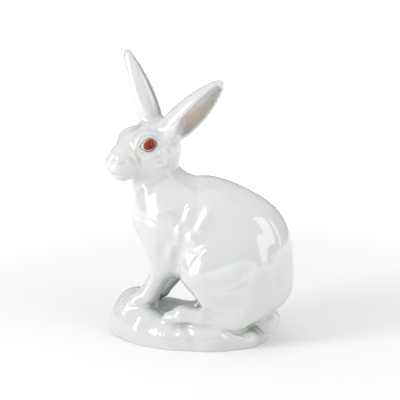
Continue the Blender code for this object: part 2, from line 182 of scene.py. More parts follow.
# Muscles that fan out over the near shoulder, as soft ridges.
shoulderFan = (
    ((12, -32, 151, -0.4), (10, -34, 143, -3.2), (6, -37, 129, -2.8), (2, -38, 118, -0.4)),
    ((33, -33, 150, -0.4), (28, -37, 138, -2.5), (22, -40, 126, -1.9), (19, -41, 117, -0.3)),
    ((1, -40, 131, -0.5), (0, -40, 120, -4.0), (-2, -39, 107, -1.2)),
    ((-9, -40, 106, -0.4), (-10, -39, 97, -1.3), (-14, -37, 86, -0.3)),
)


# Folds and muscles of the trunk; the near side carries more of them.
def bodyCarving(points):
    marks = sum(crease(points, 3.9, *ridge) for ridge in shoulderFan)
    marks += crease(points, 5, (-1, -38, 110, 0.5), (0, -41, 94, 1.4), (-4, -37, 74, 0.6))
    marks += crease(
        points, 6, (1, -4, 172, 0.5), (8, -12, 168, 2.6), (14, -20, 162, 2.4), (19, -35, 146, 0.4)
    )
    marks += crease(points, 7, (6, 8, 170, 0.8), (13, 22, 158, 1.8), (16, 34, 142, 0.4))
    marks += crease(points, 2.0, (16, -47, 92, -0.3), (25, -48, 101, -1.4), (35, -47, 110, -0.4))
    marks += crease(points, 1.8, (19, -46, 103, -0.3), (28, -46, 108, -1.0), (38, -45, 114, -0.3))
    marks += crease(points, 2.0, (17, -47, 97.5, 0.3), (27, -47, 104.5, 1.2), (37, -46, 112, 0.3))
    marks += crease(points, 7, (38, 54, 70, 0.6), (54, 52, 70, 1.2), (68, 47, 78, 1.6), (75, 46, 90, 0.8))
    marks += crease(points, 7, (38, -54, 70, 0.7), (54, -52, 70, 1.5), (66, -49, 76, 1.9), (75, -47, 90, 0.9))
    marks += crease(points, 6, (43, -53, 60, -0.5), (56, -52, 63, -1.2), (70, -48, 68, -0.6))
    marks += crease(points, 6, (89, -40, 88, 0.3), (89, -40, 76, 1.4), (87, -39, 62, 0.5))
    marks += crease(points, 6, (99, -25, 84, 0.3), (98, -25, 72, 1.3), (94, -26, 58, 0.4))
    marks += crease(points, 7, (8, 37, 146, 0.6), (4, 40, 116, 2.4), (0, 38, 84, 1.5))
    marks += press(points, (-17, -40, 101), (5.5, 9, 8), 2.2)
    marks += press(points, (-13.5, -41, 140), (7, 8, 6), -1.2)
    marks += press(points, (-25, -35, 152), (7, 8, 12), -0.9)
    marks += crease(points, 3, (-42, -28, 153, 0.3), (-33, -35, 150, 1.0), (-24, -38, 146, 0.4))
    marks += crease(points, 3, (-40, -32, 133, 0.3), (-30, -38, 130, 1.0), (-20, -42, 126, 0.4))
    marks += press(points, (-22, -42, 133), (6, 8, 8), -1.0)
    marks += press(points, (15, -46, 95), (8, 8, 9), 1.6)
    marks += press(points, (12.5, -43, 115), (6, 6, 8), -1.4)
    marks += crease(
        points, 5, (-41, -25, 166, -0.4), (-38, -28, 156, -1.5), (-34, -31.5, 143, -1.5),
        (-31, -33, 130, -0.5)
    )
    marks += press(points, (25, -51, 83), (4, 6, 4), -0.8)
    marks += press(points, (70, -49, 84), (8, 8, 8), 1.4)
    marks += press(points, (60, -50, 49), (16, 10, 8), 1.6)
    marks += press(points, (58, -17, 155), (14, 10, 9), 1.2)
    marks += press(points, (58, 20, 153), (14, 10, 9), 1.0)
    return marks


# One thigh, folded up beside the body.
def haunch(points, side):
    thigh = ball(points, (50, side * 27, 80), (46, 25, 46), turned(0, -12))
    knee = ball(points, (25, side * 34, 74), (24, 17, 25), turned(0, -20))
    shank = limb(points, (34, side * 38, 52, 12), (62, side * 36, 34, 11))
    seat = ball(points, (62, side * 18, 50), (31, 24, 30))
    return join(join(join(thigh, knee, 16), shank, 12), seat, 16)


# One long hind foot, flat on the mound.
def hindFoot(points, side):
    if side > 0:
        return limb(points, (-13, 33, 13.5, 6), (3, 34, 19, 7), (26, 37, 27, 9), (56, 39, 28, 8.5))
    return limb(points, (-11, -42, 28.8, 6.5), (3, -42, 33, 9.2), (26, -41, 32.5, 9), (56, -39, 28, 8.5))


# Near (left) foreleg a little ahead of the far one, each down to a paw on the mound.
def forelegs(points):
    nearArm = join(
        ball(points, (-22, -25, 112), (17, 14, 30), turned(0, 8)),
        limb(points, (-18, -24, 96, 13), (-17, -22, 83, 12)),
        14,
    )
    near = join(nearArm, limb(points, (-19, -22, 82, 12.5), (-37.5, -22, 47, 10)), 8)
    nearPaw = join(
        limb(points, (-38, -22, 45, 9.8), (-49, -24, 38, 8), (-58, -25, 34, 6.5)),
        ball(points, (-47, -24, 37), (13, 9.5, 8)),
        6,
    )
    near = join(near, nearPaw, 6)
    near = join(near, ball(points, (-36.5, -31, 43), (3, 2.6, 3)), 2)
    farArm = limb(points, (-18, 22, 108, 16), (-6, 20, 78, 11))
    far = join(farArm, limb(points, (-4.5, 20, 78, 10), (-33.5, 19, 39, 6)), 10)
    farPaw = limb(points, (-35.5, 19, 37, 6.2), (-44, 19, 32, 7), (-53, 20, 30, 6.5))
    far = join(far, farPaw, 6)
    return join(near, far, 2)


# Short tail, turned up.
def tail(points):
    return limb(points, (74, -8, 27, 12), (87, -15, 24, 10.5), (93, -17, 29, 8))


def neck(points):
    return limb(points, (-24, 0, 135, 34.5), (-38, 1, 168, 24.5), (-34.5, 1.5, 192, 23))


# Skull, cheeks, muzzle and brows in the head's own directions.
def head(points):
    local = headPlace(points)
    both = local * (1, 0, 1) + np.abs(local) * (0, 1, 0)
    skull = ball(local, (-17, 0, -7), (33, 22, 23))
    bridge = limb(local, (-4, 0, -1.5, 15), (20, 0, -4.5, 12.5), (28.5, 0, -8.5, 11.6))
    muzzle = ball(local, (27.3, 0, -12), (13, 12, 13.5))
    lips = ball(both, (28, 5.5, -14), (11, 7.5, 10))
    jaw = limb(local, (-6, 0, -25, 14), (12, 0, -23, 10), (28, 0, -22, 7))
    cheek = ball(both, (-8, 10, -18), (22, 13.5, 18), turned(0, 10))
    brow = ball(both, (1, 14, 6.2), (12, 8, 8.3))
    form = join(skull, bridge, 12)
    form = join(form, muzzle, 8)
    form = join(form, lips, 5)
    form = join(form, jaw, 10)
    form = join(form, cheek, 10)
    form = join(form, brow, 6)
    form = join(form, ball(local, (4, -7, 4.2), (15, 9, 8.2)), 7)
    socket = ball(both, (3, 21, 3.5), (10, 3.5, 8))
    form = carve(form, socket, 5)
    eyeball = ball(both, (2, 13, 3.5), (9, 9, 8.6))
    form = join(form, eyeball, 1)
    return form + faceCarving(both) + press(local, (-4, -5, 16), (12, 9, 7), 2.8)


# Nostrils, mouth, whisker pads and the folds around the eye, in the head's own directions.
def faceCarving(both):
    marks = crease(both, 1.6, (40.5, 3.2, -5, 0.8), (37, 6.8, -1.8, 2.1), (34, 9.2, 2.6, 1.0))
    marks += crease(both, 1.8, (42.5, 0, -15.5, 1.5), (38, 8.5, -18, 1.5), (28, 13, -19.5, 0.4))
    marks += crease(both, 1.7, (42, 0, -3, 0.8), (42.5, 0, -14, 1.4))
    marks += crease(both, 1.7, (27, 13, -2.5, -0.8), (25.5, 14, -6.5, -2.4), (24, 14.5, -11, -0.5))
    marks += crease(both, 1.6, (23.5, 13.5, -1.5, 0.6), (21.5, 14.5, -7.5, 1.5), (20.5, 15, -14, 0.4))
    marks += crease(both, 2.0, (18.8, 13.4, 0.5, -1.2), (18, 14.2, -7, -2.9), (17.3, 14.6, -15.5, -0.8))
    marks += crease(both, 1.8, (14.3, 15.8, -3, 0.6), (14, 16.2, -10, 1.4), (15, 16, -18, 0.4))
    marks += crease(both, 2.4, (10, 17.7, -6.5, -0.8), (11, 17.5, -13, -1.5), (13, 16.8, -21, -0.4))
    marks += crease(both, 1.6, (11.5, 17, 8.5, -0.6), (13.5, 15.5, 4.5, -1.4), (14.5, 14.5, 0.8, -0.8))
    marks += crease(
        both, 3.0, (-10.5, 25, -3, -0.8), (-13, 25.4, -9, -3.0), (-13.2, 24.8, -16, -3.6),
        (-8.5, 24.4, -23.5, -3.4), (-2.5, 23.8, -22.5, -1.6)
    )
    marks += crease(both, 2.2, (7, 20.6, -9.6, -0.6), (2.5, 22.6, -10.6, -2.6), (-4, 24, -10.2, -2.3))
    marks += crease(both, 2.2, (-13, 25.6, -6, -0.7), (-17, 26, -5.6, -2.7), (-23, 25.7, -4.2, -0.9))
    marks += crease(
        both, 2.0, (-7, 18.2, 12.4, -0.4), (-12, 20.6, 10.4, -1.2), (-15.6, 23.4, 6.5, -1.2),
        (-12, 24, 0.5, -0.4)
    )
    marks += crease(both, 2.3, (-7.5, 23.8, -31, -0.8), (-10.9, 24.2, -37, -2.7), (-13.5, 26, -41.5, -0.8))
    marks += press(both, (35, 10.6, -5), (4, 3.6, 5.5), -0.9)
    marks += press(both, (34.5, 2.8, 3), (3.5, 2.6, 3), -0.5)
    marks += press(both, (-3, 24, -14), (4.5, 5, 5), 0.9)
    return marks


# Each ear: its root and tip, the way it opens, how far its middle bows back, and its radii.
# The roll is half the turn that the wall makes around the hollow, in degrees: root, body and tip.
earForms = {
    "far": {
        "root": (-38, 4, 215),
        "tip": (-69, 10, 295.4),
        "opens": (0.93, 0.17, 0.34),
        "bow": -1.5,
        "girth": 12.9,
        "blunt": 0.6,
        "swell": 0.2,  # how far up the swelling curve the root starts
        "roll": (146, 136, 122),
        "hollow": (0.0, 0.3),
        "tint": (0.2, 0),  # how much of the inner-ear tint with painted shade, and of the warm brush stroke, it has
    },
    "near": {
        "root": (-23.5, -9, 213.5),
        "tip": (34, -3, 268.3),
        "opens": (0.65, -0.71, -0.47),
        "bow": -2.2,
        "girth": 15.2,
        "blunt": 2.2,
        "swell": 0.16,
        "roll": (178, 118, 95),
        "hollow": (0.08, 0.42),
        "tint": (1, 1),
    },
}


# The wall of both ears, and the floor that closes each hollow, in shares of the ear's radius.
earCut = {
    "wall": 3.2,
    "floor": 1.15,  # where the floor lies at the root, above the rims
    "depth": 2.5,  # how far it drops where the hollow is open
    "closes": 0.88,  # share of the length where it rises again to the tip
}


# Where points lie on an ear: share of its length, how far past its ends, and place in its section.
def earSection(points, form):
    root, tip = np.array(form["root"], float), np.array(form["tip"], float)
    run = tip - root
    span = math.sqrt(run @ run)
    along = run / span
    opens = np.array(form["opens"], float)
    opens = opens - along * (opens @ along)
    opens /= math.sqrt(opens @ opens)
    reach = (points - root) @ along
    t = np.clip(reach / span, 0, 1)
    centre = root + t[:, None] * run - (4 * t * (1 - t))[:, None] * form["bow"] * opens
    offset = points - centre
    across, ahead = offset @ np.cross(along, opens), offset @ opens
    swell = form["swell"] + (1 - form["swell"]) * t
    full = np.maximum(np.sin(np.pi * swell), 0) ** 0.6 * (1 - 0.1 * t)
    radius = form["blunt"] + (form["girth"] - form["blunt"]) * full
    return t, reach - t * span, across, ahead, np.hypot(across, ahead), radius


# A rolled leaf of even wall around a hollow, which a sloping floor closes at root and tip.
def ear(points, form):
    t, beyond, across, ahead, distance, radius = earSection(points, form)
    halfTurn = np.radians(np.interp(t, (0, 0.35, 1), form["roll"]))
    angle = np.arctan2(np.abs(across), -ahead)
    rim = np.hypot(np.abs(across) - radius * np.sin(halfTurn), ahead + radius * np.cos(halfTurn))
    section = np.where(angle < halfTurn, np.abs(distance - radius), rim)
    shell = np.hypot(section, beyond) - earCut["wall"] / 2
    opened = smoothStep(*form["hollow"], t) * (1 - smoothStep(earCut["closes"], 1, t))
    floor = radius * (earCut["floor"] - earCut["depth"] * opened)
    core = np.maximum(np.hypot(distance, beyond) - radius, ahead - floor)
    return join(shell, core, 3)


def ears(points):
    return [ear(points, form) for form in earForms.values()]


# Where the tint with painted shade and the brush stroke lie in an ear: across its wall in units, and along it
# in shares of its length.
earPaint = {
    "skin": (0.1, 1.6),  # from the outside of the wall to the inside
    "starts": (0.03, 0.14),
    "shadeEnds": (0.92, 0.99),
    "shadeFades": (-1, 5),  # towards the rims
    "strokeEnds": (0.48, 0.74),
    "strokeFades": (-4, 1.5),
}


# How far a point on the skin is inside the hollow of an ear, as tint with painted shade that fades towards
# the rims, and near the hollow's root.
def insideEars(points):
    inner, low = np.zeros(len(points)), np.zeros(len(points))
    for form in earForms.values():
        t, beyond, _, ahead, distance, radius = earSection(points, form)
        mark = smoothStep(*earPaint["skin"], radius - distance) * smoothStep(*earPaint["starts"], t)
        mark = mark * (np.abs(beyond) < 2)
        shade = mark * (1 - smoothStep(*earPaint["shadeEnds"], t))
        shade = shade * (1 - 0.9 * smoothStep(*earPaint["shadeFades"], ahead))
        inner = np.maximum(inner, form["tint"][0] * shade)
        stroke = mark * (1 - smoothStep(*earPaint["strokeEnds"], t))
        stroke = stroke * (1 - smoothStep(*earPaint["strokeFades"], ahead))
        low = np.maximum(low, form["tint"][1] * stroke)
    return inner, low


# Low oval ground of rolled leaves under the hare.
def mound(points):
    across = np.maximum(np.hypot(points[:, 0] / 84, points[:, 1] / 59), tiny)
    reach = np.maximum(np.hypot(points[:, 0] / 84**2, points[:, 1] / 59**2), tiny / 84)
    side = across * (across - 1) / reach
    slab = np.hypot(np.maximum(side + 9, 0), np.maximum(points[:, 2] - 9, 0)) - 9
    slab = np.maximum(slab, side)
    front = ball(points, (-59, 0, 14), (25, 36, 30))
    nearRoll = limb(points, (-62, -16, 18, 18), (-38, -32, 15, 19), (-10, -40, 12, 14))
    farRoll = limb(points, (-58, 18, 15, 18), (-30, 34, 6.3, 17), (6, 42, 8, 13))
    nearLeaf = limb(points, (8, -43, 12, 13), (40, -40, 12, 13), (69, -23, 6, 11))
    farLeaf = limb(points, (10, 42, 8, 13), (42, 40, 7, 13), (68, 18, 5, 12))
    form = join(slab, front, 8)
    form = join(form, nearRoll, 5)
    form = join(form, farRoll, 5)
    form = join(form, nearLeaf, 4)
    form = join(form, farLeaf, 5)
    return form


# Folds that part the mound into leaves.
def leafCarving(points):
    marks = crease(points, 5, (3, -45, 28, 0.4), (9.5, -49, 21, 2.0), (20, -56, 8, 2.6), (25, -58, 1, 2))
    marks += crease(points, 6, (0, -57, 12, 1.2), (9, -59, 6, 2.4), (16, -60, 1, 1.6))
    marks += crease(points, 1.8, (45, -48, 24, -0.3), (54.7, -45, 17.6, -0.9), (67, -37.5, 12.2, -0.9))
    marks += crease(points, 2.4, (47, -46, 27.5, 0.1), (57, -43, 21, 0.3), (69, -35, 16, 0.4))
    marks += crease(points, 5, (67, -35, 17, 0.7), (73, -29, 11, 1.3), (80, -24, 3, 1.0))
    marks += crease(points, 5, (68, -38, 28, 0.8), (77, -30, 23.5, 1.7), (87, -23, 20, 2.6))
    marks += crease(
        points, 2.2, (-69, -13, 39.5, 1.0), (-66.5, -10.8, 41, 3.0), (-62.7, -8, 43, 4.0),
        (-57.9, -3.2, 44, 3.0)
    )
    marks += crease(
        points, 2.6, (-66, -32.5, 26.5, -0.5), (-60, -39.6, 20.5, -1.3), (-51, -47, 17.2, -1.6),
        (-41, -51.8, 15.4, -1.3), (-29, -54.6, 13.6, -0.4)
    )
    marks += crease(
        points, 4.5, (-58.6, -36.6, 27, 0.5), (-49.3, -45.6, 24.3, 1.3), (-39, -51, 20.5, 1.3),
        (-28, -53, 17, 0.4)
    )
    marks += crease(points, 6, (-14, 44, 24, 1.5), (-8, 55, 12, 3.2), (-2, 60, 2, 2))
    marks += crease(points, 6, (36, 42, 22, 1.2), (46, 52, 10, 2.8), (52, 54, 2, 2))
    marks += crease(points, 5, (80, 8, 12, 1.6), (84, 10, 2, 2.2))
    marks += crease(points, 5, (-84, 4, 26, 1.2), (-86, 8, 8, 2.4))
    marks += crease(
        points, 2.6, (22, -50, 48, 0.6), (31, -50, 37, 1.8), (41, -50, 32, 1.4), (54, -49, 27, 0.4)
    )
    for toe in (31, 35.5):  # between the toes of the far hind foot
        marks += crease(points, 1.5, (-20, toe, 18, 0.9), (-12, toe, 24, 0.9), (-4, toe, 29, 0.2))
    for toe in (-28.5, -21.5):  # between the toes of the near forepaw
        marks += crease(points, 1.5, (-64, toe, 35, 0.9), (-58, toe, 40, 0.9), (-50, toe, 44, 0.2))
    for toe in (17, 22):  # and of the far one
        marks += crease(points, 1.5, (-61, toe, 32, 0.9), (-55, toe, 38, 0.9), (-48, toe, 42, 0.2))
    return marks


# Distance to the whole casting, in modeller's units.
def sculpt(points):
    form = torso(points)
    form = join(form, haunch(points, -1), 10)
    form = join(form, haunch(points, 1), 10)
    form = carve(form, bellyGap(points), 10)
    form = join(form, forelegs(points), 14)
    form = join(form, neck(points), 17) + bodyCarving(points)
    form = join(form, head(points), 11)
    farEar, nearEar = ears(points)
    form = join(form, farEar, 5)
    form = join(form, nearEar, 8)
    form = join(form, tail(points), 4)
    feet = join(hindFoot(points, -1), hindFoot(points, 1), 1)
    form = join(form, feet, 4)
    form = join(form, mound(points), 4) + leafCarving(points)
    return form + eyeCarving(points) + leafGrain(points)


# Where points lie on the nearer eye: along its opening, across it, and share of the way to its rim.
def eyePlace(points):
    local = headPlace(points)
    side = np.abs(local[:, 1])
    slant = math.radians(eye["slant"])
    ahead, rise = local[:, 0] - eye["place"][0], local[:, 2] - eye["place"][1]
    along = ahead * math.cos(slant) + rise * math.sin(slant)
    across = rise * math.cos(slant) - ahead * math.sin(slant)
    corner = np.maximum(1 - eye["pinch"] * (along / eye["halfLength"]) ** 2, eye["leastPinch"])
    share = np.hypot(along / eye["halfLength"], across / (eye["halfHeight"] * corner))
    return along, across, share, side


# Lids around the eyeball, and the fold above them.
def eyeCarving(points):
    across, share, side = eyePlace(points)[1:]
    beside = smoothStep(12, 15, side)
    lid = -eye["lidRise"] * np.exp(-(((share - 1.16) / 0.13) ** 2))
    rim = eye["rimDepth"] * np.exp(-(((share - 0.97) / 0.07) ** 2))
    fold = eye["foldDepth"] * np.exp(-(((share - 1.52) / 0.12) ** 2)) * smoothStep(-2, 4, across)
    return (lid + rim + fold) * beside


leafRibs = {
    "centre": (-40, -50, 14),  # the ribs curve around this place on the near leaf
    "gap": 4.2,
    "depth": 0.12,
}


# Faint ribs on the rolled end of the near leaf.
def leafGrain(points):
    reach = length((points - np.array(leafRibs["centre"], float)) * (1, 0.6, 1))
    window = smoothStep(19, 24, reach) * (1 - smoothStep(37, 42, reach))
    window = window * smoothStep(-36, -24, points[:, 0]) * (1 - smoothStep(22, 28, points[:, 2]))
    window = window * smoothStep(34, 42, -points[:, 1])
    wander = 1.6 * np.sin(points[:, 1] / 7)
    return leafRibs["depth"] * window * np.sin(reach * 2 * math.pi / leafRibs["gap"] + wander)


# The grid is worked through every so many points first, so many at once, and a pinch is filled.
grid = {"skip": 4, "atOnce": 60000, "filled": -0.05}


# Field values on a grid. Points far from the skin take the value of a coarse grid point near them.
def gridValues(low, shape, step):
    skip = grid["skip"]
    coarse = [np.arange(0, n + skip - 1, skip) for n in shape]
    places = np.stack(np.meshgrid(*coarse, indexing="ij"), axis=-1).reshape(-1, 3)
    rough = sculptInParts(places * step + low).reshape(tuple(len(a) for a in coarse))
    nearest = np.ix_(*[np.rint(np.arange(n) / skip).astype(int) for n in shape])
    value = rough[nearest]
    farthest = 5.5 * step + 2  # a skin this close may pass through a coarse cell
    place = np.stack(np.nonzero(np.abs(value) < farthest), axis=-1)
    value[tuple(place.T)] = sculptInParts(place * step + low)
    return value


def sculptInParts(points):
    parts = np.array_split(points, len(points) // grid["atOnce"] + 1)
    return np.concatenate([sculpt(part) for part in parts])


# Fills each grid face whose corners alternate, so that no two sheets share an edge.
def unpinched(value):
    while True:
        inside = value < 0
        pinched = np.zeros(value.shape, bool)
        for axis in range(3):
            second, third = (axis + 1) % 3, (axis + 2) % 3
            corners = []
            for back, down in ((0, 0), (1, 0), (1, 1), (0, 1)):
                corner = [slice(None)] * 3
                corner[second] = slice(1, None) if back else slice(0, -1)
                corner[third] = slice(1, None) if down else slice(0, -1)
                corners.append(tuple(corner))
            one, two, three, four = [inside[corner] for corner in corners]
            crossed = (one == three) & (two == four) & (one != two)
            for corner in corners:
                pinched[corner] |= crossed
        if not pinched.any():
            return value
        value = np.where(pinched, np.minimum(value, grid["filled"]), value)


# The skin where the field is zero: one vertex in each grid cell that it crosses.
def skin(low, high, step):
    low = np.array(low, float)
    shape = tuple(int((b - a) / step) + 1 for a, b in zip(low, high))
    value = unpinched(gridValues(low, shape, step))
    inside = value < 0
    offsets = np.array([(x, y, z) for x in (0, 1) for y in (0, 1) for z in (0, 1)])
    filled = sum(
        inside[tuple(slice(o, n - 1 + o) for o, n in zip(offset, shape))].astype(int)
        for offset in offsets
    )
    cell = np.stack(np.nonzero((filled > 0) & (filled < 8)), axis=-1)
    number = np.full(tuple(n - 1 for n in shape), -1)
    number[tuple(cell.T)] = np.arange(len(cell))
    corner = np.stack([value[tuple((cell + offset).T)] for offset in offsets], axis=-1)
    total, count = np.zeros((len(cell), 3)), np.zeros(len(cell))
    for first in range(8):
        for second in range(first + 1, 8):
            if np.abs(offsets[first] - offsets[second]).sum() != 1:
                continue
            a, b = corner[:, first], corner[:, second]
            crossed = (a < 0) != (b < 0)
            share = np.where(crossed, a / np.where(crossed, a - b, 1), 0)[:, None]
            total += (offsets[first] + share * (offsets[second] - offsets[first])) * crossed[:, None]
            count += crossed
    vertices = (cell + total / count[:, None]) * step + low
    quads = []
    for axis in range(3):
        second, third = (axis + 1) % 3, (axis + 2) % 3
        start, end = [slice(1, -1)] * 3, [slice(1, -1)] * 3
        start[axis], end[axis] = slice(0, -1), slice(1, None)
        a, b = inside[tuple(start)], inside[tuple(end)]
        place = np.stack(np.nonzero(a != b), axis=-1) + 1
        place[:, axis] -= 1
        ring = []
        for back, down in ((0, 0), (1, 0), (1, 1), (0, 1)):
            around = place.copy()
            around[:, second] -= back
            around[:, third] -= down
            ring.append(number[tuple(around.T)])
        ring = np.stack(ring, axis=-1)
        quads.append(np.where(a[a != b][:, None], ring, ring[:, ::-1]))
    return vertices, np.concatenate(quads)


# Evens out the spacing of the vertices.
def relax(vertices, faces):
    edges = np.concatenate([faces[:, (k, (k + 1) % 4)] for k in range(4)])
    count = np.bincount(edges[:, 0], minlength=len(vertices))
    ends = vertices[edges[:, 1]]
    total = [np.bincount(edges[:, 0], ends[:, k], len(vertices)) for k in range(3)]
    return np.stack(total, axis=-1) / count[:, None]


# Slope of the field at points.
def slopeAt(points, here):
    nudge = 0.05
    return np.stack([sculptInParts(points + nudge * unit) - here for unit in np.eye(3)], axis=-1) / nudge


# Moves each vertex along the field's slope onto the skin.
def settle(vertices, rounds=2):
    for _ in range(rounds):
        here = sculptInParts(vertices)
        slope = slopeAt(vertices, here)
        vertices = vertices - (here / np.maximum((slope**2).sum(axis=1), 0.2))[:, None] * slope
    return vertices


# Splits the mesh of the hare's face, and that around its eyes once more, and settles it.
def refineFace(mesh):
    work = bmesh.new()
    work.from_mesh(mesh)
    for eyesOnly in (False, True):
        middle = np.array([face.calc_center_median() for face in work.faces])
        share, side = eyePlace(middle)[2:]
        ahead, left, rise = headPlace(middle).T
        onHead = (ahead > -20) & (np.abs(left) < 31) & (rise > -28) & (rise < 16)
        near = (share < 1.6) & (side > 10) & (side < 30) if eyesOnly else onHead
        edges = {edge for face, chosen in zip(work.faces, near) if chosen for edge in face.edges}
        bmesh.ops.subdivide_edges(work, edges=list(edges), cuts=1, use_grid_fill=True)
    work.verts.ensure_lookup_table()
    places = np.array([vertex.co for vertex in work.verts])
    ahead, left, rise = headPlace(places).T
    near = np.nonzero((ahead > -22) & (np.abs(left) < 33) & (rise > -30) & (rise < 18))[0]
    for index, place in zip(near, settle(places[near])):
        work.verts[int(index)].co = Vector(place)
    work.to_mesh(mesh)
    work.free()


# Cuts the mound off flat where it stands and sinks the middle inside a bare foot ring.
def closeUnderside(mesh):
    work = bmesh.new()
    work.from_mesh(mesh)
    everything = work.verts[:] + work.edges[:] + work.faces[:]
    cut = bmesh.ops.bisect_plane(
        work, geom=everything, plane_co=(0, 0, 0), plane_no=(0, 0, -1), clear_outer=True
    )
    rim = [part for part in cut["geom_cut"] if isinstance(part, bmesh.types.BMEdge)]
    for width, height in footRing["steps"]:
        made = bmesh.ops.extrude_edge_only(work, edges=rim)["geom"]
        corners = {part for part in made if isinstance(part, bmesh.types.BMVert)}
        rim = [
            part
            for part in made
            if isinstance(part, bmesh.types.BMEdge) and corners.issuperset(part.verts)
        ]
        for corner in corners:
            corner.co *= 1 - width / math.hypot(corner.co.x, corner.co.y)
            corner.co.z = height
    bmesh.ops.contextual_create(work, geom=rim)
    bmesh.ops.triangulate(work, faces=[face for face in work.faces if len(face.verts) > 4])
    bmesh.ops.recalc_face_normals(work, faces=work.faces[:])
    work.to_mesh(mesh)
    work.free()


# How the marks for pooled glaze and painted shade find folds and gaps: how far they look out from the skin,
# and with what weight.
gathers = {
    "folds": ((2.5, 0.5), (9.0, 0.5)),
    "gap": 28,
    "gapBelow": (30, 44),  # gaps get painted shade below this height
}


# Per-vertex marks that the glaze reads: how sunk a place is, for pooled glaze and painted shade in folds, how
# closed in a gap is, for painted shade, and whether it is inside an ear, for its tint, painted shade and
# brush stroke.
def markSkin(mesh):
    places = np.array([vertex.co for vertex in mesh.vertices])
    normals = np.array([vertex.normal for vertex in mesh.vertices])
    sunk = np.zeros(len(places))
    for reach, weight in gathers["folds"]:
        free = sculptInParts(places + normals * reach) / reach
        sunk += weight * np.clip(1 - free, 0, 1)
    # painted shade: how closed in a place is, which darkens the gaps under the body
    deep = np.clip(1 - sculptInParts(places + normals * gathers["gap"]) / gathers["gap"], 0, 1)
    deep = deep * (1 - smoothStep(*gathers["gapBelow"], places[:, 2]))
    inner, low = insideEars(places)
    for name, values in (("sunk", sunk), ("deep", deep), ("innerEarTintAndShade", inner), ("earRoot", low)):
        mark = mesh.attributes.new(name, "FLOAT", "POINT")
        mark.data.foreach_set("value", values.astype(np.float32))


# The whole casting as one fine mesh in the row's frame.
def castHare():
    step = hare["step"]
    vertices, quads = skin(hare["low"], hare["high"], step)
    for _ in range(2):
        vertices = relax(vertices, quads)
    vertices = settle(vertices)
    mesh = bpy.data.meshes.new("porcelainHare")
    mesh.from_pydata(vertices.tolist(), [], quads.tolist())
    refineFace(mesh)
    mesh.shade_smooth()
    markSkin(mesh)
    mesh.transform(Matrix.Translation((-hare["moundAhead"], 0, 0)))
    mesh.transform(Matrix.Scale(hare["unit"], 4))
    closeUnderside(mesh)
    mesh.shade_smooth()
    return bpy.data.objects.new("porcelainHare", mesh)


# Small helpers for building a material.
class Shader:
    def __init__(self, name):
        self.material = bpy.data.materials.new(name)
        self.material.use_nodes = True
        self.tree = self.material.node_tree
        self.surface = self.tree.nodes["Principled BSDF"]

    def add(self, kind, **settings):
        node = self.tree.nodes.new(kind)
        for key, value in settings.items():
            setattr(node, key, value)
        return node

    def feed(self, socket, value):
        if isinstance(value, bpy.types.NodeSocket):
            self.tree.links.new(value, socket)
        else:
            socket.default_value = value

    def math(self, operation, *values):
        node = self.add("ShaderNodeMath", operation=operation)
        for socket, value in zip(node.inputs, values):
            self.feed(socket, value)
        return node.outputs[0]

    def vector(self, operation, one, other):
        node = self.add("ShaderNodeVectorMath", operation=operation)
        self.feed(node.inputs[0], one)
        self.feed(node.inputs[1], other)
        return node.outputs["Value" if operation in ("DOT_PRODUCT", "LENGTH") else "Vector"]

    # 0 below low, 1 above high, smooth between them
    def step(self, low, high, value):
        node = self.add("ShaderNodeMapRange", interpolation_type="SMOOTHSTEP")
        for socket, part in zip(node.inputs, (value, low, high, 0.0, 1.0)):
            self.feed(socket, part)
        return node.outputs[0]

    def mix(self, share, one, other):
        node = self.add("ShaderNodeMix", data_type="RGBA")
        self.feed(node.inputs["Factor"], share)
        for socket, part in ((node.inputs[6], one), (node.inputs[7], other)):
            self.feed(socket, part)
        return node.outputs[2]

    def mark(self, name):
        return self.add("ShaderNodeAttribute", attribute_name=name).outputs["Fac"]

    def noise(self, place, scale):
        node = self.add("ShaderNodeTexNoise")
        self.feed(node.inputs["Vector"], place)
        self.feed(node.inputs["Scale"], scale)
        return node.outputs["Fac"]


# Colours and gloss of the glazed porcelain, all linear.
glaze = {
    "white": (0.655, 0.667, 0.661, 1),
    "pooledGlazeAndShade": (0.46, 0.482, 0.468, 1),  # where the glaze gathers in folds: partly glaze tint, partly painted shade
    "deep": (0.27, 0.325, 0.27, 1),  # painted shade, greenish, in the gaps under the body
    "warm": (0.685, 0.676, 0.658, 1),  # faint warmer clouds
    # inner-ear tint with painted shade, darkest away from the rims
    "innerEarTintAndShade": (0.64, 0.625, 0.60, 1),
    "earRoot": (0.79, 0.70, 0.62, 1),  # warmer where the hollow of an ear begins
    "blush": (0.60, 0.50, 0.43, 1),  # nostrils and mouth
    "bare": (0.70, 0.67, 0.62, 1),  # unglazed foot ring
    "cloudScale": 14.0,
    "cloudShare": 0.5,  # how strongly each of these colours covers the white
    "pooledGlazeAndShadeShare": 0.7,
    "deepShare": 0.8,
    "innerEarTintAndShadeShare": 0.85,
    "earRootShare": 0.75,
    "roughness": 0.25,  # of the body under the clear coat
    "bareRoughness": 0.5,  # how much rougher the foot ring is
    "ior": 1.5,
    "specular": 0.5,
    "coatRoughness": 0.03,
    "coatIOR": 1.7,
    "depth": 0.15,  # share of light that enters the body, and how far it goes in metres
    "depthReach": 0.004,
    "waves": ((60.0, 1.0), (210.0, 0.25)),  # scale and weight of the ripples in the glaze
    "waveHeight": 0.0012,
    "waveStrength": 0.35,
}
